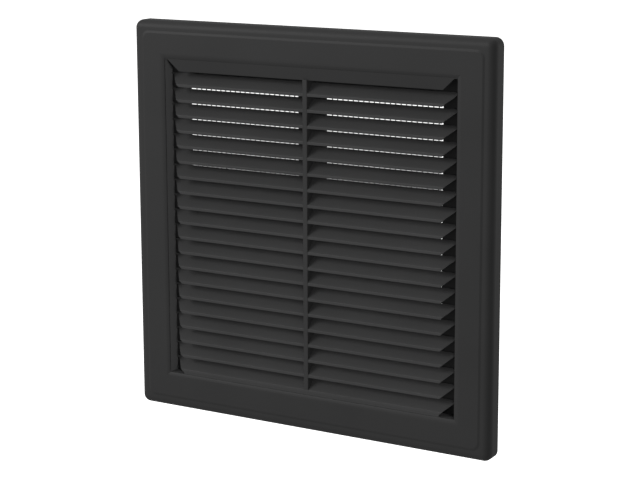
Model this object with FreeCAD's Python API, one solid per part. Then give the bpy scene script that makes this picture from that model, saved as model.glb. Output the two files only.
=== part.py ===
"""Louvred air grille: a clip-on cover with fixed louvres over a screwed wall frame.

Millimetres. +Z is up, the grille faces -Y, and the plane y = 0 is the wall.
Depths called "depth_..." are counted forward from the wall, so they sit at y = -depth.
"""
import FreeCAD, Part
import math
import os

# ---- driving dimensions -------------------------------------------------------------

# cover
cover_size = 186.0          # width and height of the front
cover_depth = 9.6           # wall to front face
cover_lift = 0.3            # rim stands this far off the wall
cover_wall = 2.2            # face and rim
return_wall = 1.8           # wall round the opening
corner_radius = 3.8         # corners seen from the front
edge_radius = 3.6           # rounding along the outer front edge
ledge_drop = 0.35           # the border panel stands this far above the outer ledge
ledge_inset = 4.8           # outer edge to the foot of the small ramp
ledge_ramp = 1.0            # width of that ramp

# opening in the cover and its louvres
opening_size = 151.0
dish_width = 2.8            # the border falls in to the opening over this width
dish_drop = 0.5             # and by this depth, where the louvre lips begin
louvre_count = 21
louvre_wall = 1.3
lip_height = 1.3            # upright front face of a louvre
airway_rise = 1.26          # height of the straight air gap between two louvres
louvre_back_gap = 0.4       # louvre back edge to the back of the opening's wall
notch_inset = 7.3           # how far a lip stops short of the opening's side
side_tab = 0.73             # height by which a louvre's end meets the opening's side
notch_spread = 1.09         # sideways growth of a louvre per height within the notch
top_louvre_height = 5.6     # the flat top louvre
top_louvre_lean = 0.7       # how far it leans in at its lip
top_louvre_wall = 1.4
sill_height = 1.0           # foot of the lowest louvre on the opening's lower side
sill_depth = 3.0
mullion_width = 2.4
mullion_proud = 0.2         # how far the rib stands in front of the lips

# insect screen
screen_wall = 1.2
screen_border = 13.3        # round both windows
screen_bar = 14.4
screen_overhang = 0.2       # screen frame beyond its clips
wire_pitch = 2.62           # between the upright wires
wire_rise = 2.53            # between the level wires
wire_width = 0.45
wire_depth = 0.4
wire_weld = 1.5             # wire ends lie on the screen frame by this much
wire_set_in = 0.6           # wall to the rear layer of wires
clip_length = 12.0
clip_wall = 1.2
clip_reach = 2.4            # how far a clip reaches forward beside the opening's wall
clip_clearance = 0.3

# wall frame
frame_thickness = 2.4
frame_screen_clearance = 1.0
frame_rim_clearance = 2.6
tongue_length = 20.0
tongue_wall = 1.5
tongue_top_clearance = 0.4  # tongue tips to the inside of the cover's face
catch_height = 1.0
catch_bite = 1.4            # how far a tongue's catch stands outward
catch_clearance = 0.3
catch_gap = 0.6             # between the two catches, front to back
clip_spacing = 90.0         # between the two tongues of one side
screw_inset = 4.3           # wall frame's outer edge to a screw hole's axis
screw_hole_radius = 1.9
screw_head_radius = 3.3     # wide end of the countersink

# ---- places that follow from them ---------------------------------------------------

cover_half = cover_size / 2
rim_inner = cover_half - cover_wall
opening_half = opening_size / 2
return_outer = opening_half + return_wall
lip_depth = cover_depth - dish_drop
lowest_lip = sill_height - opening_half
top_lip = opening_half - top_louvre_height
louvre_pitch = (top_lip - lowest_lip) / (louvre_count - 1)
notch_height = louvre_pitch - airway_rise - side_tab

screen_outer = return_outer + clip_clearance + clip_wall + screen_overhang
window_half = screen_outer - screen_border
frame_inner = screen_outer + frame_screen_clearance
frame_outer = rim_inner - frame_rim_clearance
screw_place = frame_outer - screw_inset
tongue_top = cover_depth - cover_wall - tongue_top_clearance

screen_back = wire_set_in + 2 * wire_depth
return_back = screen_back + screen_wall
louvre_back = return_back + louvre_back_gap


# ---- helpers ------------------------------------------------------------------------

def vec(x, depth, z):
    """A point given by its depth in front of the wall."""
    return FreeCAD.Vector(x, -depth, z)


def block(x0, x1, depth0, depth1, z0, z1):
    """A box between two depths in front of the wall."""
    return Part.makeBox(x1 - x0, depth1 - depth0, z1 - z0, vec(x0, depth1, z0))


def rounded_square(half, radius, depth):
    """A closed square wire with rounded corners, at one depth."""
    flat = half - radius
    diagonal = flat + radius * math.sqrt(0.5)
    edges = []
    for turn in range(4):
        angle = math.radians(90 * turn)

        def at(u, v):
            x = u * math.cos(angle) - v * math.sin(angle)
            z = u * math.sin(angle) + v * math.cos(angle)
            return vec(x, depth, z)

        edges.append(Part.makeLine(at(half, -flat), at(half, flat)))
        arc = Part.Arc(at(half, flat), at(diagonal, diagonal), at(flat, half))
        edges.append(arc.toShape())
    return Part.Wire(edges)


def slab(half, radius, depth0, depth1):
    """A plate with rounded corners between two depths."""
    face = Part.Face(rounded_square(half, radius, depth0))
    return face.extrude(FreeCAD.Vector(0, depth0 - depth1, 0))


def square_slab(half, depth0, depth1):
    """A plate with sharp corners between two depths."""
    return block(-half, half, depth0, depth1, -half, half)


def front_edges(shape, depth):
    """The edges that lie wholly at one depth."""
    chosen = []
    for edge in shape.Edges:
        box = edge.BoundBox
        if abs(box.YMin + depth) < 1e-4 and abs(box.YMax + depth) < 1e-4:
            chosen.append(edge)
    return chosen


def square_funnel(half0, depth0, half1, depth1):
    """A square plug that tapers between two depths."""
    wires = []
    for half, depth in ((half0, depth0), (half1, depth1)):
        corners = [(-half, -half), (half, -half), (half, half), (-half, half), (-half, -half)]
        wires.append(Part.makePolygon([vec(x, depth, z) for x, z in corners]))
    return Part.makeLoft(wires, True, True)


def prism(section, half_width):
    """Extrude a (depth, z) outline across the grille, both sides of the middle."""
    points = [vec(-half_width, depth, z) for depth, z in section]
    face = Part.Face(Part.makePolygon(points + points[:1]))
    return face.extrude(FreeCAD.Vector(2 * half_width, 0, 0))


def four_sides(shape):
    """The same shape on all four sides, turned about the grille's axis."""
    copies = []
    for turn in range(4):
        copy = shape.copy()
        copy.rotate(FreeCAD.Vector(0, 0, 0), FreeCAD.Vector(0, 1, 0), 90 * turn)
        copies.append(copy)
    return copies


def clip_places():
    """Where the two tongues of one side stand, along that side."""
    return [-clip_spacing / 2, clip_spacing / 2]


def screw_points():
    """The four screw axes, as x and z."""
    return [(sx * screw_place, sz * screw_place) for sx in (-1, 1) for sz in (-1, 1)]


def cylinder(radius, depth0, depth1, x, z):
    """A cylinder along the grille's axis between two depths."""
    return Part.makeCylinder(radius, depth1 - depth0, vec(x, depth1, z), FreeCAD.Vector(0, 1, 0))


def export(name, shape):
    """Write one node."""
    shape.exportStep("parts/" + name + ".step")


# ---- cover --------------------------------------------------------------------------

def cover_outside():
    """The closed outside of the cover: rounded tray with a raised border panel."""
    ledge_depth = cover_depth - ledge_drop
    tray = slab(cover_half, corner_radius, cover_lift, ledge_depth)
    tray = tray.makeFillet(edge_radius, front_edges(tray, ledge_depth))
    foot = cover_half - ledge_inset
    crown = foot - ledge_ramp
    foot_wire = rounded_square(foot, corner_radius, ledge_depth)
    crown_wire = rounded_square(crown, corner_radius - ledge_ramp, cover_depth)
    panel = Part.makeLoft([foot_wire, crown_wire], True, True)
    return tray.fuse(panel).removeSplitter()


def cover_catches():
    """Small ridges inside the rim that the wall frame's tongues hold behind."""
    tip = frame_outer + catch_bite + catch_clearance
    top = tongue_top - catch_height - catch_gap
    length = tongue_length
    ridges = []
    for place in clip_places():
        ridge = block(tip, rim_inner, top - catch_height, top, place - length / 2, place + length / 2)
        ridges += four_sides(ridge)
    return ridges


def front_bezel():
    """The moulded frame of the cover: border, rim and the wall round the opening."""
    inside_depth = cover_depth - cover_wall
    body = cover_outside()
    hollow = slab(rim_inner, corner_radius - cover_wall, 0, inside_depth)
    opening_ring = square_slab(return_outer, return_back, inside_depth)
    body = body.cut(hollow.cut(opening_ring))
    body = body.cut(square_slab(opening_half, 0, cover_depth))
    body = body.cut(square_funnel(opening_half + dish_width, cover_depth, opening_half, lip_depth))
    for ridge in cover_catches():
        body = body.fuse(ridge)
    return body.removeSplitter()


def notch(lip_z, side):
    """The wedge of air at one end of a louvre, open downwards."""
    inner = opening_half - notch_inset
    outer = inner + notch_spread * notch_height
    reach = cover_size
    points = [
        vec(side * inner, 0, lip_z),
        vec(side * outer, 0, lip_z + notch_height),
        vec(side * reach, 0, lip_z + notch_height),
        vec(side * reach, 0, lip_z),
    ]
    face = Part.Face(Part.makePolygon(points + points[:1]))
    return face.extrude(FreeCAD.Vector(0, -2 * cover_depth, 0))


def louvre_section(lip_z):
    """Outline of a rain louvre: upright lip, then a blade that rises to the back."""
    crest = lip_z + louvre_pitch - airway_rise
    run = lip_depth - louvre_back
    rise = crest - lip_z - lip_height
    upright = louvre_wall * math.hypot(run, rise) / run
    toe = (upright - lip_height) * run / rise
    return [
        (lip_depth, lip_z),
        (lip_depth, lip_z + lip_height),
        (louvre_back, crest),
        (louvre_back, crest - upright),
        (lip_depth - toe, lip_z),
    ]


def top_louvre_section():
    """Outline of the flat top louvre that hangs from the opening's upper side and leans in."""
    hem = lip_depth - top_louvre_lean
    return [
        (lip_depth, opening_half),
        (hem, top_lip),
        (hem - top_louvre_wall, top_lip),
        (lip_depth - top_louvre_wall, opening_half),
    ]


def louvre(index):
    """One louvre, counted from the top, with both ends notched."""
    lip_z = top_lip - louvre_pitch * (index - 1)
    section = top_louvre_section() if index == 1 else louvre_section(lip_z)
    shape = prism(section, opening_half)
    for side in (-1, 1):
        shape = shape.cut(notch(lip_z, side))
    if index == louvre_count:
        foot = opening_half - notch_inset
        sill = block(-foot, foot, lip_depth - sill_depth, lip_depth, -opening_half, lip_z)
        blade_foot = block(-foot, foot, lip_depth - sill_depth, lip_depth, lip_z, lip_z + lip_height)
        shape = shape.fuse([sill, blade_foot.cut(shape)]).removeSplitter()
    return shape


def mullion(louvres):
    """The upright rib in the middle, a comb that the louvres lie in."""
    lip_top = lowest_lip + lip_height
    crest = lowest_lip + louvre_pitch - airway_rise
    front = lip_depth + mullion_proud
    outline = [
        (front, lip_top),
        (front, top_lip),
        (louvre_back, top_lip),
        (louvre_back, crest),
        (lip_depth, lip_top),
    ]
    rib = prism(outline, mullion_width / 2)
    for blade in louvres:
        rib = rib.cut(blade)
    return rib


# ---- insect screen ------------------------------------------------------------------

def screen_frame():
    """Flat frame with two windows, and clips that hold it on the opening's wall."""
    half = window_half
    bar = screen_bar / 2
    frame = square_slab(screen_outer, screen_back, return_back)
    for side in (-1, 1):
        ends = sorted((side * bar, side * half))
        frame = frame.cut(block(ends[0], ends[1], 0, cover_depth, -half, half))
    inner = return_outer + clip_clearance
    for place in clip_places():
        clip = block(inner, inner + clip_wall, return_back, return_back + clip_reach,
                     place - clip_length / 2, place + clip_length / 2)
        for copy in four_sides(clip):
            frame = frame.fuse(copy)
    return frame.removeSplitter()


def wire_row(start, end, pitch):
    """Evenly spaced wire centres that fill the stretch between two edges."""
    meshes = round((end - start) / pitch)
    step = (end - start) / meshes
    return [start + step * index for index in range(1, meshes)]


def screen_mesh(side):
    """The two layers of wires over one window, welded to the back of its frame."""
    half = window_half
    ends = sorted((side * screen_bar / 2, side * half))
    wire_layer = wire_set_in + wire_depth
    wires = []
    for x in wire_row(ends[0], ends[1], wire_pitch):
        wires.append(block(x - wire_width / 2, x + wire_width / 2, wire_layer, screen_back,
                           -half - wire_weld, half + wire_weld))
    for z in wire_row(-half, half, wire_rise):
        wires.append(block(ends[0] - wire_weld, ends[1] + wire_weld, wire_set_in, wire_layer,
                           z - wire_width / 2, z + wire_width / 2))
    return Part.makeCompound(wires)


# ---- wall frame ---------------------------------------------------------------------

def tongue(place):
    """One springy tongue with its catch, on the +X side of the wall frame."""
    low = place - tongue_length / 2
    high = place + tongue_length / 2
    blade = block(frame_outer - tongue_wall, frame_outer, 0, tongue_top, low, high)
    catch = block(frame_outer, frame_outer + catch_bite, tongue_top - catch_height, tongue_top, low, high)
    return blade.fuse(catch)


def countersink(x, z):
    """The cone of air that takes a screw's head."""
    height = screw_head_radius - screw_hole_radius
    return Part.makeCone(screw_head_radius, screw_hole_radius, height, vec(x, frame_thickness, z),
                         FreeCAD.Vector(0, 1, 0))


def wall_frame():
    """The flat ring that is screwed to the wall, with eight spring tongues."""
    frame = square_slab(frame_outer, 0, frame_thickness)
    frame = frame.cut(square_slab(frame_inner, 0, frame_thickness))
    for x, z in screw_points():
        frame = frame.cut(cylinder(screw_hole_radius, 0, frame_thickness, x, z))
        frame = frame.cut(countersink(x, z))
    for place in clip_places():
        for copy in four_sides(tongue(place)):
            frame = frame.fuse(copy)
    return frame.removeSplitter()


# ---- build --------------------------------------------------------------------------

def main():
    os.makedirs("parts", exist_ok=True)
    export("front_bezel", front_bezel())
    louvres = [louvre(index) for index in range(1, louvre_count + 1)]
    for index, blade in enumerate(louvres, start=1):
        export("louvre_%02d" % index, blade)
    export("mullion", mullion(louvres))
    export("screen_frame", screen_frame())
    export("screen_mesh_left", screen_mesh(-1))
    export("screen_mesh_right", screen_mesh(1))
    export("wall_frame", wall_frame())


main()
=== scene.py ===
"""Looks of a louvred air grille: moulded black cover, insect screen and wall frame.

Metres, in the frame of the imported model: +Z is up, the grille faces -Y, the wall is y = 0.
A "depth" is counted forward from the wall, so it sits at y = -depth.
"""

import math

import bmesh
import bpy
from mathutils import Matrix, Vector


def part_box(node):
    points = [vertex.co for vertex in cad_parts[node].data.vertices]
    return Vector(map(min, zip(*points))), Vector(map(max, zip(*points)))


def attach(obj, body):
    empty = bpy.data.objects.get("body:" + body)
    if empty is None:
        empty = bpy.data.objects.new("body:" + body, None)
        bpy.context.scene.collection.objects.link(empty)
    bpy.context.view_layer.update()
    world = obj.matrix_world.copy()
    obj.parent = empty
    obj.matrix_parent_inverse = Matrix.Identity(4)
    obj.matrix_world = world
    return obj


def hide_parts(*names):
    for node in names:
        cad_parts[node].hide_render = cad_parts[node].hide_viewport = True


MM = 0.001
NEAR = 0.01 * MM            # two places closer than this are the same
RAIN_LOUVRES = 20           # the sloping ones, below the flat top louvre

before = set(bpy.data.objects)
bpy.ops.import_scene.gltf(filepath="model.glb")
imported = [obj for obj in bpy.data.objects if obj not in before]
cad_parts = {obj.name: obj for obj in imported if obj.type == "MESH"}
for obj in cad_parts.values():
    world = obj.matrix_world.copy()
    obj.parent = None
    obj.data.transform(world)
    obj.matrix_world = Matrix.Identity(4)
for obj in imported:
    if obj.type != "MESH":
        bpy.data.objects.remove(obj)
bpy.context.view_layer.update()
scene = bpy.context.scene

# sizes that the node boxes don't give, as in the part's own design
corner_radius = 3.8 * MM
edge_radius = 3.6 * MM
ledge_drop = 0.35 * MM
ledge_inset = 4.8 * MM
ledge_ramp = 1.0 * MM
cover_wall = 2.2 * MM
return_wall = 1.8 * MM
return_back = 2.6 * MM
dish_width = 2.8 * MM
lip_height = 1.3 * MM
louvre_wall = 1.3 * MM
notch_inset = 7.3 * MM
side_tab = 0.73 * MM
notch_spread = 1.09
top_louvre_wall = 1.4 * MM
sill_depth = 3.0 * MM
screen_border = 13.3 * MM
screen_bar = 14.4 * MM
screen_wall = 1.2 * MM
clip_length = 12.0 * MM
clip_wall = 1.2 * MM
clip_overhang = 0.2 * MM
wire_weld = 1.5 * MM
wire_pitch = 2.62 * MM
wire_rise = 2.53 * MM
wire_width = 0.45 * MM
wire_merge = 0.05 * MM      # how far the crossed wires sink into each other
frame_width = 8.2 * MM
frame_thickness = 2.4 * MM
tongue_length = 20.0 * MM
tongue_wall = 1.5 * MM
catch_height = 1.0 * MM
catch_bite = 1.4 * MM
catch_gap = 0.6 * MM
catch_clearance = 0.3 * MM
clip_spacing = 90.0 * MM
screw_inset = 4.3 * MM
screw_hole_radius = 1.9 * MM
screw_head_radius = 3.3 * MM
plug_length = 4.0 * MM      # of the shape that cuts a screw hole

# roundings that only the looks have
CORNER_STEPS = 8
RIM_STEPS = 10
DISH_STEPS = (0.25, 0.5, 0.75, 1.0)
EDGE_ANGLE = 30             # degrees; sharper edges than this are rounded
BEZEL_ANGLE = 14
SMOOTH_ANGLE = 40
fine_edge = 0.22 * MM
blade_edge = 0.12 * MM
rib_edge = 0.3 * MM
rib_foot = 0.3 * MM         # how far below its box the rib's slanted foot starts
thin_edge = 0.15 * MM       # screen frame and tongues
frame_edge = 0.18 * MM
ridge_edge = 0.35 * MM
window_corner = 0.6 * MM
push_chamfer = 0.6 * MM     # where a clip or a tongue is pushed on
wire_chamfer = 0.1 * MM
dish_step = 0.25 * MM       # the bezel's own share of the opening's wall
seat_gap = 0.03 * MM        # between the opening's wall and the screen that sits on it
bury = 0.4 * MM             # a piece that grows out of another starts this deep in it


# ---- shader writing -----------------------------------------------------------------

class Wire:
    """A value or colour on its way through a material; arithmetic on it adds Math nodes."""

    def __init__(self, sheet, socket):
        self.sheet = sheet
        self.socket = socket

    def maths(self, operation, *values):
        return self.sheet.node("ShaderNodeMath", {"operation": operation}, dict(enumerate(values)))

    def __add__(self, other):
        return self.maths("ADD", self, other)

    def __sub__(self, other):
        return self.maths("SUBTRACT", self, other)

    def __mul__(self, other):
        return self.maths("MULTIPLY", self, other)

    __radd__ = __add__
    __rmul__ = __mul__


class Sheet:
    """One material's node sheet."""

    def __init__(self, name):
        self.material = bpy.data.materials.new(name)
        self.material.use_nodes = True
        self.tree = self.material.node_tree
        self.shader = self.tree.nodes["Principled BSDF"]

    def node(self, kind, settings=None, inputs=None, output=0):
        """Add a node, set it up, then set or link its inputs."""
        made = self.tree.nodes.new(kind)
        for name, value in (settings or {}).items():
            if name == "stops":
                for stop, (place, level) in zip(made.color_ramp.elements, value):
                    stop.position = place
                    stop.color = (level, level, level, 1)
            else:
                setattr(made, name, value)
        for key, value in (inputs or {}).items():
            if isinstance(value, Wire):
                self.tree.links.new(value.socket, made.inputs[key])
            else:
                made.inputs[key].default_value = value
        return Wire(self, made.outputs[output])

    def feed(self, **inputs):
        """Set or link the shader's own inputs; underscores stand for spaces."""
        for key, value in inputs.items():
            socket = self.shader.inputs[key.replace("_", " ")]
            if isinstance(value, Wire):
                self.tree.links.new(value.socket, socket)
            else:
                socket.default_value = value


# ---- materials ----------------------------------------------------------------------

def moulded_plastic(name, tone, roughness, grain, gloss):
    """Black moulded plastic: fine spark-eroded grain, faint flow marks and cloudy sheen."""
    sheet = Sheet(name)
    place = sheet.node("ShaderNodeTexCoord", output=3)
    fine = sheet.node("ShaderNodeTexNoise", {}, {"Vector": place, "Scale": 4200.0, "Detail": 2.0})
    flow = sheet.node("ShaderNodeTexNoise", {}, {"Vector": place, "Scale": 26.0, "Detail": 3.0})
    pits = sheet.node("ShaderNodeTexVoronoi", {}, {"Vector": place, "Scale": 2600.0})
    sheet.feed(Roughness=roughness + 0.08 * (flow - 0.5) + 0.08 * (fine - 0.5))
    relief = 0.6 * fine + 0.4 * pits
    bump = sheet.node("ShaderNodeBump", {}, {"Strength": grain, "Distance": 0.00002, "Height": relief})
    sheet.feed(Normal=bump, Specular_IOR_Level=gloss)
    dark = (tone * 0.93, tone * 0.93, tone * 0.935, 1)
    light = (tone * 1.07, tone * 1.07, tone * 1.075, 1)
    stops = [(0.3, 0.0), (0.7, 1.0)]
    mottle = sheet.node("ShaderNodeValToRGB", {"stops": stops}, {0: 0.75 * flow + 0.25 * fine})
    colour = sheet.node("ShaderNodeMix", {"data_type": "RGBA"}, {0: mottle, 6: dark, 7: light}, 2)
    sheet.feed(Base_Color=colour)
    return sheet.material


cover_black = moulded_plastic("cover_black", 0.0265, 0.58, 0.25, 0.18)
louvre_black = moulded_plastic("louvre_black", 0.0270, 0.58, 0.20, 0.18)
# the rib is the cover's own plastic, made darker here as painted shade to offset the louvre light that also
# reaches it
rib_black_painted_darker = moulded_plastic("rib_black_painted_darker", 0.0215, 0.58, 0.20, 0.15)
screen_black = moulded_plastic("screen_black", 0.0235, 0.62, 0.20, 0.18)
frame_black = moulded_plastic("frame_black", 0.0245, 0.62, 0.30, 0.18)


# ---- working by hand ----------------------------------------------------------------

def focus(piece):
    """Select one object alone and make it the active one."""
    bpy.ops.object.select_all(action="DESELECT")
    piece.select_set(True)
    bpy.context.view_layer.objects.active = piece


def block(name, low, high):
    """A block between two corners, left open in edit mode."""
    low = Vector(low)
    high = Vector(high)
    bpy.ops.object.select_all(action="DESELECT")
    bpy.ops.mesh.primitive_cube_add(size=1, location=(low + high) / 2, scale=high - low)
    piece = bpy.context.object
    piece.name = name
    bpy.ops.object.transform_apply(location=True, rotation=True, scale=True)
    bpy.ops.object.mode_set(mode="EDIT")
    return piece


def select(piece, kind, wanted):
    """In edit mode, select only the vertices, edges or faces that pass a test."""
    bpy.ops.mesh.select_mode(type=kind)
    bpy.ops.mesh.select_all(action="DESELECT")
    shape = bmesh.from_edit_mesh(piece.data)
    elements = {"VERT": shape.verts, "EDGE": shape.edges, "FACE": shape.faces}[kind]
    for element in elements:
        if wanted(element):
            element.select_set(True)
    bmesh.update_edit_mesh(piece.data)


def close(piece):
    """Leave edit mode with the normals outwards."""
    bpy.ops.mesh.select_all(action="SELECT")
    bpy.ops.mesh.remove_doubles(threshold=NEAR / 4)
    bpy.ops.mesh.normals_make_consistent(inside=False)
    bpy.ops.object.mode_set(mode="OBJECT")
    return piece


def facing(x, y, z):
    """A test for the faces that look one way."""
    direction = Vector((x, y, z)).normalized()
    return lambda face: face.normal.dot(direction) > 0.99


def at_depth(edge, depth):
    """Whether an edge lies wholly at one depth."""
    return all(abs(vert.co.y + depth) < NEAR for vert in edge.verts)


def carve(piece, cutter):
    """Cut one shape out of a piece and drop the cutter."""
    focus(piece)
    cut = piece.modifiers.new("cut", "BOOLEAN")
    cut.operation = "DIFFERENCE"
    cut.solver = "EXACT"
    cut.object = cutter
    bpy.ops.object.modifier_apply(modifier=cut.name)
    bpy.data.objects.remove(cutter)


def copy_of(piece, name, move=(0, 0, 0), turn=0.0):
    """A copy with its own mesh, moved, or turned about the grille's axis."""
    focus(piece)
    bpy.ops.object.duplicate()
    made = bpy.context.object
    made.name = name
    made.matrix_world = Matrix.Translation(Vector(move)) @ Matrix.Rotation(turn, 4, "Y")
    bpy.ops.object.transform_apply(location=True, rotation=True, scale=True)
    return made


def round_the_grille(piece):
    """Repeat a piece made for the +X side on all four sides, at both clip places, as one."""
    copies = []
    for turn in range(4):
        for place in (-clip_spacing / 2, clip_spacing / 2):
            made = copy_of(piece, piece.name, (0, 0, place))
            copies.append(copy_of(made, piece.name, turn=turn * math.pi / 2))
            bpy.data.objects.remove(made)
    bpy.data.objects.remove(piece)
    return join(copies)


def join(pieces):
    """Several objects made one."""
    focus(pieces[0])
    for piece in pieces:
        piece.select_set(True)
    bpy.ops.object.join()
    return bpy.context.object


def soften(piece, width, angle, steps=2):
    """Round the sharp edges as a mould would, and shade the rest smooth."""
    focus(piece)
    bevel = piece.modifiers.new("edges", "BEVEL")
    bevel.width = width
    bevel.segments = steps
    bevel.limit_method = "ANGLE"
    bevel.angle_limit = math.radians(angle)
    bevel.use_clamp_overlap = False
    bevel.miter_outer = "MITER_ARC"
    bpy.ops.object.modifier_apply(modifier=bevel.name)
    bpy.ops.object.shade_smooth_by_angle(angle=math.radians(SMOOTH_ANGLE))
    weigh = piece.modifiers.new("shading", "WEIGHTED_NORMAL")
    weigh.keep_sharp = True
    bpy.ops.object.modifier_apply(modifier=weigh.name)


def hand_over(piece, body, slot, material, *nodes):
    """Give a finished piece its name, finish and body, in place of its CAD nodes."""
    piece.name = "looks_" + nodes[0]
    piece.data.materials.clear()
    piece.data.materials.append(material)
    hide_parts(*nodes)
    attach(piece, body)


# ---- cover: bezel -------------------------------------------------------------------

def ring(half, radius, depth):
    """In edit mode, add a square ring of edges with rounded corners."""
    bpy.ops.mesh.select_mode(type="VERT")
    bpy.ops.mesh.select_all(action="DESELECT")
    bpy.ops.mesh.primitive_plane_add(size=2 * half, location=(0, -depth, 0), rotation=(math.pi / 2, 0, 0))
    if radius:
        bpy.ops.mesh.bevel(offset=radius, segments=CORNER_STEPS, affect="VERTICES")
    bpy.ops.mesh.delete(type="ONLY_FACE")
    return half, radius, depth


def on_ring(edge, ring_sizes):
    """Whether an edge is an open edge of one ring."""
    half, radius, depth = ring_sizes
    if len(edge.link_faces) > 1:
        return False
    for vert in edge.verts:
        reach = max(abs(vert.co.x), abs(vert.co.z))
        if abs(vert.co.y + depth) > NEAR or not half - 0.3 * radius - 5 * NEAR < reach < half + NEAR:
            return False
    return True


def bridge(piece, first, second):
    """Join two rings at different depths with a band of faces."""
    select(piece, "EDGE", lambda edge: on_ring(edge, first) or on_ring(edge, second))
    bpy.ops.mesh.bridge_edge_loops()


def fill_between(piece, first, second):
    """Fill the flat band between two rings at one depth."""
    select(piece, "EDGE", lambda edge: on_ring(edge, first) or on_ring(edge, second))
    bpy.ops.mesh.fill()


def draw_out(piece, start, half, depth):
    """Extrude a ring to another size and depth."""
    select(piece, "EDGE", lambda edge: on_ring(edge, start))
    bpy.ops.mesh.extrude_region_move(TRANSFORM_OT_translate={"value": (0, start[2] - depth, 0)})
    ratio = half / start[0]
    bpy.ops.transform.resize(value=(ratio, 1, ratio), center_override=(0, 0, 0))
    return half, start[1] * ratio, depth


def tray(low, high):
    """The outer shell of the cover, open at the back and at the ledge."""
    piece = block("bezel", (low.x, low.y + ledge_drop, low.z), high)
    front = -low.y - ledge_drop
    select(piece, "FACE", facing(0, 1, 0))
    bpy.ops.mesh.delete(type="ONLY_FACE")
    select(piece, "EDGE", lambda edge: abs(edge.verts[0].co.y - edge.verts[1].co.y) > NEAR)
    bpy.ops.mesh.bevel(offset=corner_radius, segments=CORNER_STEPS, affect="EDGES")
    select(piece, "EDGE", lambda edge: at_depth(edge, front))
    bpy.ops.mesh.bevel(offset=edge_radius, segments=RIM_STEPS, affect="EDGES")
    select(piece, "FACE", lambda face: facing(0, -1, 0)(face)
           and abs(face.calc_center_median().y + front) < NEAR)
    bpy.ops.mesh.delete(type="ONLY_FACE")
    return piece


def bezel():
    """Border panel, rounded rim, dished inner edge and the wall round the opening."""
    low, high = (Vector(corner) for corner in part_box("front_bezel"))
    louvre_low, louvre_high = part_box("louvre_02")
    half = high.x
    depth = -low.y
    lift = -high.y
    ledge = depth - ledge_drop
    inside = depth - cover_wall
    opening = louvre_high[0]
    lip_depth = -louvre_low[1]
    piece = tray(low, high)

    shoulder = (half - edge_radius, corner_radius - edge_radius, ledge)
    foot = ring(half - ledge_inset, corner_radius, ledge)
    fill_between(piece, shoulder, foot)
    crown = ring(half - ledge_inset - ledge_ramp, corner_radius - ledge_ramp, depth)
    bridge(piece, foot, crown)
    dish = ring(opening + dish_width, 0, depth)
    fill_between(piece, crown, dish)
    for share in DISH_STEPS:
        fall = (depth - lip_depth) * share ** 2
        dish = draw_out(piece, dish, opening + dish_width * (1 - share), depth - fall)
    step = draw_out(piece, dish, opening, lip_depth - dish_step)
    step = draw_out(piece, step, opening + return_wall / 2, lip_depth - dish_step)
    root = draw_out(piece, step, opening + return_wall / 2, inside)
    ceiling = ring(half - cover_wall, corner_radius - cover_wall, inside)
    fill_between(piece, root, ceiling)
    rim = draw_out(piece, ceiling, half - cover_wall, lift)
    fill_between(piece, rim, (half, corner_radius, lift))
    close(piece)
    soften(piece, fine_edge, BEZEL_ANGLE)
    return join([piece, cover_catches(half - cover_wall)])


def opening_wall():
    """The wall round the opening, which the louvres run into; it grows out of the bezel."""
    louvre_low, louvre_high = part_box("louvre_02")
    opening = louvre_high[0]
    outer = opening + return_wall
    front = -louvre_low[1] - dish_step
    back = return_back + seat_gap
    piece = block("wall", (-outer, -front, -outer), (outer, -back, outer))
    select(piece, "FACE", lambda face: abs(face.normal.y) > 0.9)
    bpy.ops.mesh.inset(thickness=return_wall, use_even_offset=True)
    bpy.ops.mesh.bridge_edge_loops()
    select(piece, "EDGE", lambda edge: at_depth(edge, back)
           and NEAR > min(abs(edge.verts[0].co[axis] - edge.verts[1].co[axis]) for axis in (0, 2)))
    bpy.ops.mesh.bevel(offset=fine_edge, segments=2, affect="EDGES")
    close(piece)
    return piece


def cover_catches(rim_inner):
    """The small ridges inside the rim that the wall frame's tongues hold behind."""
    low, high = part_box("wall_frame")
    top = -low[1] - catch_height - catch_gap
    tip = high[0] + catch_clearance
    ridge = block("ridge", (tip, -top, -tongue_length / 2),
                  (rim_inner + bury, catch_height - top, tongue_length / 2))
    select(ridge, "EDGE", lambda edge: all(abs(vert.co.x - tip) < NEAR for vert in edge.verts))
    bpy.ops.mesh.bevel(offset=ridge_edge, segments=2, affect="EDGES")
    close(ridge)
    return round_the_grille(ridge)


# ---- cover: louvres and rib ---------------------------------------------------------

def notch(side, opening, lip_z):
    """The wedge-shaped block that cuts one end of a louvre, open downwards."""
    inner = opening - notch_inset
    outer = opening + 2 * MM
    below = 0.5 * MM
    louvre_low, louvre_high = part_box("louvre_02")
    notch_height = louvre_high[2] - louvre_low[2] - side_tab
    x0, x1 = sorted((side * inner, side * outer))
    piece = block("notch", (x0, -0.02, lip_z - below), (x1, 0.02, lip_z + notch_height))
    select(piece, "VERT", lambda vert: abs(vert.co.x - side * inner) < NEAR and vert.co.z > lip_z)
    bpy.ops.transform.translate(value=(side * notch_spread * notch_height, 0, 0))
    select(piece, "VERT", lambda vert: abs(vert.co.x - side * inner) < NEAR)
    bpy.ops.transform.translate(value=(-side * notch_spread * below, 0, 0))
    return close(piece)


def cut_ends(piece, opening, lip_z):
    """Notch both ends of a louvre."""
    for side in (-1, 1):
        carve(piece, notch(side, opening, lip_z))


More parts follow.
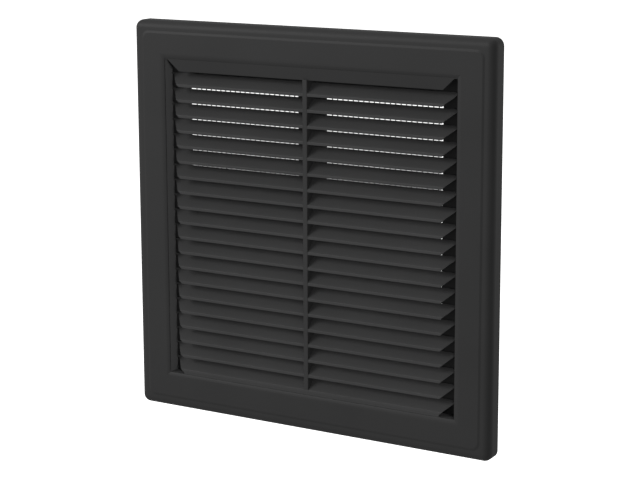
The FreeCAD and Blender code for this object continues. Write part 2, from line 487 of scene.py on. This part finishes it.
def rain_louvre():
    """An upright lip with a blade that rises from it to the back."""
    low, high = (Vector(corner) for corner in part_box("louvre_02"))
    run = high.y - low.y
    rise = high.z - low.z - lip_height
    upright = louvre_wall * math.hypot(run, rise) / run
    toe = (upright - lip_height) * run / rise
    piece = block("louvre", (low.x - bury, low.y, low.z), (high.x + bury, low.y + toe, low.z + lip_height))
    select(piece, "EDGE", lambda edge: all(vert.co.y > low.y + NEAR and vert.co.z > low.z + NEAR
                                           for vert in edge.verts))
    bpy.ops.transform.translate(value=(0, 0, upright - lip_height))
    select(piece, "FACE", facing(0, 1, 0))
    climb = (run - toe) * rise / run
    bpy.ops.mesh.extrude_region_move(TRANSFORM_OT_translate={"value": (0, run - toe, climb)})
    close(piece)
    cut_ends(piece, high.x, low.z)
    return piece


def top_louvre():
    """The flat top louvre, which leans in towards its lower edge."""
    low, high = (Vector(corner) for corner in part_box("louvre_01"))
    hem = high.y - top_louvre_wall
    piece = block("louvre", (low.x - bury, hem, low.z), (high.x + bury, high.y, high.z + bury))
    select(piece, "FACE", facing(0, 0, 1))
    bpy.ops.transform.translate(value=(0, low.y - hem, 0))
    close(piece)
    cut_ends(piece, high.x, low.z)
    return piece


def lowest_foot():
    """What the lowest louvre stands on."""
    low, high = (Vector(corner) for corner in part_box("louvre_21"))
    foot = high.x - notch_inset - fine_edge
    lip_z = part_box("louvre_02")[0][2] - (RAIN_LOUVRES - 1) * louvre_pitch()
    return close(block("foot", (-foot, low.y + fine_edge, low.z - bury),
                       (foot, low.y + sill_depth, lip_z + 0.8 * lip_height)))


def louvre_pitch():
    """Height from one louvre to the next."""
    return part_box("louvre_02")[0][2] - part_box("louvre_03")[0][2]


def louvres():
    """All louvres: one of each shape modelled, the others copied from it."""
    made = [top_louvre()]
    blank = rain_louvre()
    soften(blank, blade_edge, EDGE_ANGLE)
    for index in range(RAIN_LOUVRES):
        made.append(copy_of(blank, "louvre", (0, 0, -index * louvre_pitch())))
    bpy.data.objects.remove(blank)
    soften(made[0], blade_edge, EDGE_ANGLE)
    foot = lowest_foot()
    soften(foot, blade_edge, EDGE_ANGLE)
    made[-1] = join([made[-1], foot])
    return made


def rib():
    """The upright rib in the middle, which ends on the lowest louvre's blade."""
    low, high = (Vector(corner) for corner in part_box("mullion"))
    louvre_low, louvre_high = (Vector(corner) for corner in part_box("louvre_02"))
    run = louvre_high.y - louvre_low.y
    rise = louvre_high.z - louvre_low.z - lip_height
    piece = block("rib", low, high + Vector((0, 0, bury)))
    select(piece, "VERT", lambda vert: True)
    bpy.ops.mesh.bisect(plane_co=(0, louvre_low.y, low.z - rib_foot), plane_no=(0, rise, -run),
                        use_fill=True, clear_outer=True)
    close(piece)
    return piece


# ---- insect screen ------------------------------------------------------------------

def screen_clip(inner, back, tip):
    """One clip of the screen on the +X side, chamfered where it is pushed on."""
    clip = block("clip", (inner, -tip, -clip_length / 2), (inner + clip_wall, -back + bury, clip_length / 2))
    select(clip, "EDGE", lambda edge: at_depth(edge, tip) and abs(edge.verts[0].co.x - inner) < NEAR
           and abs(edge.verts[1].co.x - inner) < NEAR)
    bpy.ops.mesh.bevel(offset=push_chamfer, segments=1, affect="EDGES")
    close(clip)
    soften(clip, fine_edge, EDGE_ANGLE)
    return round_the_grille(clip)


def screen_frame():
    """Flat frame with two windows and eight clips."""
    low, high = (Vector(corner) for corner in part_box("screen_frame"))
    half = high.x
    front = -high.y + screen_wall
    piece = close(block("screen", (-half, -front, -half), (half, high.y, half)))
    window = half - screen_border
    for side in (-1, 1):
        x0, x1 = sorted((side * screen_bar / 2, side * window))
        hole = block("window", (x0, -front - MM, -window), (x1, high.y + MM, window))
        select(hole, "EDGE", lambda edge: abs(edge.verts[0].co.y - edge.verts[1].co.y) > NEAR)
        bpy.ops.mesh.bevel(offset=window_corner, segments=3, affect="EDGES")
        carve(piece, close(hole))
    soften(piece, thin_edge, EDGE_ANGLE)
    clips = screen_clip(half - clip_overhang - clip_wall, front, -low.y)
    return join([piece, clips])


def row_of_wires(name, low, high, step, count):
    """One chamfered wire, repeated in a row."""
    wire = block(name, low, high)
    long_way = 2 if high[2] - low[2] > high[0] - low[0] else 0
    select(wire, "EDGE", lambda edge: abs(edge.verts[0].co[long_way] - edge.verts[1].co[long_way]) > NEAR)
    bpy.ops.mesh.bevel(offset=wire_chamfer, segments=1, affect="EDGES")
    close(wire)
    repeat = wire.modifiers.new("row", "ARRAY")
    repeat.use_relative_offset = False
    repeat.use_constant_offset = True
    repeat.constant_offset_displace = step
    repeat.count = count
    bpy.ops.object.modifier_apply(modifier=repeat.name)
    return wire


def screen_mesh(side):
    """The crossed wires over one window."""
    name = "screen_mesh_right" if side > 0 else "screen_mesh_left"
    low, high = (Vector(corner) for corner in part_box(name))
    middle = (low.y + high.y) / 2
    x0 = low.x + wire_weld
    z0 = low.z + wire_weld
    across = high.x - low.x - 2 * wire_weld
    tall = high.z - low.z - 2 * wire_weld
    columns = round(across / wire_pitch)
    rows = round(tall / wire_rise)
    step_x = across / columns
    step_z = tall / rows
    half = wire_width / 2
    first_x = x0 + step_x
    first_z = z0 + step_z
    uprights = row_of_wires(name, (first_x - half, low.y, low.z),
                            (first_x + half, middle + wire_merge, high.z),
                            (step_x, 0, 0), columns - 1)
    levels = row_of_wires(name, (low.x, middle - wire_merge, first_z - half),
                          (high.x, high.y, first_z + half),
                          (0, 0, step_z), rows - 1)
    return join([uprights, levels])


# ---- wall frame ---------------------------------------------------------------------

def tongue(outer, tip):
    """One springy tongue on the +X side, with a sloped catch at its tip."""
    inner = outer - tongue_wall
    root = -frame_thickness + bury
    piece = block("tongue", (inner, -tip, -tongue_length / 2), (outer, root, tongue_length / 2))
    select(piece, "VERT", lambda vert: True)
    bpy.ops.mesh.bisect(plane_co=(0, catch_height - tip, 0), plane_no=(0, 1, 0))
    select(piece, "FACE", lambda face: facing(1, 0, 0)(face)
           and face.calc_center_median().y < catch_height - tip)
    bpy.ops.mesh.extrude_region_move(TRANSFORM_OT_translate={"value": (catch_bite, 0, 0)})
    catch = outer + catch_bite
    select(piece, "EDGE", lambda edge: at_depth(edge, tip)
           and all(abs(vert.co.x - catch) < NEAR for vert in edge.verts))
    bpy.ops.mesh.bevel(offset=push_chamfer, segments=1, affect="EDGES")
    close(piece)
    soften(piece, thin_edge, EDGE_ANGLE)
    return round_the_grille(piece)


def screw_cutter(x, z):
    """A stepped plug: a straight hole that opens to a cone at the front."""
    bpy.ops.object.select_all(action="DESELECT")
    bpy.ops.mesh.primitive_cylinder_add(vertices=40, radius=screw_hole_radius, depth=plug_length,
                                        location=(x, 0, z), rotation=(math.pi / 2, 0, 0))
    plug = bpy.context.object
    bpy.ops.object.transform_apply(location=True, rotation=True, scale=True)
    bpy.ops.object.mode_set(mode="EDIT")
    neck = frame_thickness - (screw_head_radius - screw_hole_radius)
    select(plug, "FACE", facing(0, -1, 0))
    bpy.ops.transform.translate(value=(0, plug_length / 2 - neck, 0))
    over = 0.2 * MM
    bpy.ops.mesh.extrude_region_move(TRANSFORM_OT_translate={"value": (0, neck - frame_thickness - over, 0)})
    ratio = (screw_head_radius + over) / screw_hole_radius
    bpy.ops.transform.resize(value=(ratio, 1, ratio), center_override=(x, 0, z))
    return close(plug)


def wall_frame():
    """The flat ring screwed to the wall, with countersunk holes and eight tongues."""
    low, high = (Vector(corner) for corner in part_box("wall_frame"))
    outer = high.x - catch_bite
    piece = block("wall_frame", (-outer, -frame_thickness, -outer), (outer, 0, outer))
    select(piece, "EDGE", lambda edge: abs(edge.verts[0].co.y - edge.verts[1].co.y) > NEAR)
    bpy.ops.mesh.bevel(offset=MM, segments=4, affect="EDGES")
    close(piece)
    inner = outer - frame_width
    carve(piece, close(block("inside", (-inner, -0.01, -inner), (inner, 0.01, inner))))
    place = outer - screw_inset
    for x in (-place, place):
        for z in (-place, place):
            carve(piece, screw_cutter(x, z))
    soften(piece, frame_edge, EDGE_ANGLE)
    return join([piece, tongue(outer, -low.y)])


# ---- stage --------------------------------------------------------------------------

def floor():
    """A wide pale floor below the grille."""
    bpy.ops.object.select_all(action="DESELECT")
    bpy.ops.mesh.primitive_plane_add(size=24, location=(0, 0, -0.40))
    made = bpy.context.object
    made.name = "floor"
    made.visible_diffuse = False
    made.visible_glossy = False
    sheet = Sheet("pale_floor")
    sheet.feed(Base_Color=(0.9, 0.9, 0.9, 1), Roughness=0.9)
    sheet.feed(Emission_Color=(1, 1, 1, 1), Emission_Strength=0.8)
    made.data.materials.append(sheet.material)


def lamp(name, kind, place, target, size, power):
    """One soft light aimed at a point."""
    data = bpy.data.lights.new(name, kind)
    data.energy = power
    if kind == "SUN":
        data.angle = size
    else:
        data.size = size
    made = bpy.data.objects.new(name, data)
    made.location = place
    aim = Vector(target) - Vector(place)
    made.rotation_euler = aim.to_track_quat("-Z", "Y").to_euler()
    scene.collection.objects.link(made)
    return made


def only_on(light, *pieces):
    """Keep a light to some of the pieces."""
    lit = bpy.data.collections.new(light.name + "_lights")
    for piece in pieces:
        lit.objects.link(piece)
    light.light_linking.receiver_collection = lit


def world_light(level):
    """Even pale light from all around."""
    world = bpy.data.worlds.new("studio")
    world.use_nodes = True
    background = world.node_tree.nodes["Background"]
    background.inputs["Color"].default_value = (1, 1, 1, 1)
    background.inputs["Strength"].default_value = level
    scene.world = world


def camera():
    """The view: from the right and above, with a long lens."""
    data = bpy.data.cameras.new("camera")
    data.lens = 102.1
    data.shift_y = -0.0625
    data.sensor_width = 36
    data.clip_start = 0.01
    data.clip_end = 60
    place = Vector((0.4098, -0.6996, 0.1721))
    target = Vector((0.0081, -0.0096, 0.0166))
    turn = (target - place).to_track_quat("-Z", "Y").to_matrix().to_4x4()
    roll = Matrix.Rotation(math.radians(-0.176), 4, "Z")
    made = bpy.data.objects.new("camera", data)
    made.matrix_world = Matrix.Translation(place) @ turn @ roll
    scene.collection.objects.link(made)
    scene.camera = made


# ---- build --------------------------------------------------------------------------

hand_over(bezel(), "cover", "cover_plastic", cover_black, "front_bezel")
blades = louvres()
for index, blade in enumerate(blades, start=1):
    shade = cover_black if index == 1 else louvre_black
    hand_over(blade, "cover", "cover_plastic", shade, "louvre_%02d" % index)
upright_rib = rib()
soften(upright_rib, rib_edge, EDGE_ANGLE, 3)
# the rib gets the darker copy of the cover plastic: painted shade against the louvre light on it
hand_over(upright_rib, "cover", "cover_plastic", rib_black_painted_darker, "mullion")
inner_wall = opening_wall()
hand_over(inner_wall, "cover", "cover_plastic", cover_black, "front_bezel")
inner_wall.name = "looks_opening_wall"
insect_screen = screen_frame()
hand_over(insect_screen, "screen", "screen_plastic", screen_black, "screen_frame")
hand_over(screen_mesh(-1), "screen", "screen_plastic", screen_black, "screen_mesh_left")
hand_over(screen_mesh(1), "screen", "screen_plastic", screen_black, "screen_mesh_right")
hand_over(wall_frame(), "wall_frame", "frame_plastic", frame_black, "wall_frame")

scene.view_settings.view_transform = "Standard"
grille = (0, 0, 0)
floor()
world_light(0.44)
lamp("overhead", "SUN", (0, 0.6, 2.0), grille, 0.3, 0.4)
lamp("front_fill", "AREA", (-1.72, -2.05, 1.25), grille, 1.3, 64)
lamp("right_back", "AREA", (1.38, 1.15, 0.1), grille, 0.6, 3.7)
recess_light = lamp("recess_light", "AREA", (1.4, -1.4, 0.4), grille, 0.5, 58)
only_on(recess_light, inner_wall)
louvre_light = lamp("louvre_light", "AREA", (1.15, -1.9, 0.42), grille, 0.6, 26)
only_on(louvre_light, upright_rib, *blades[1:])
camera()
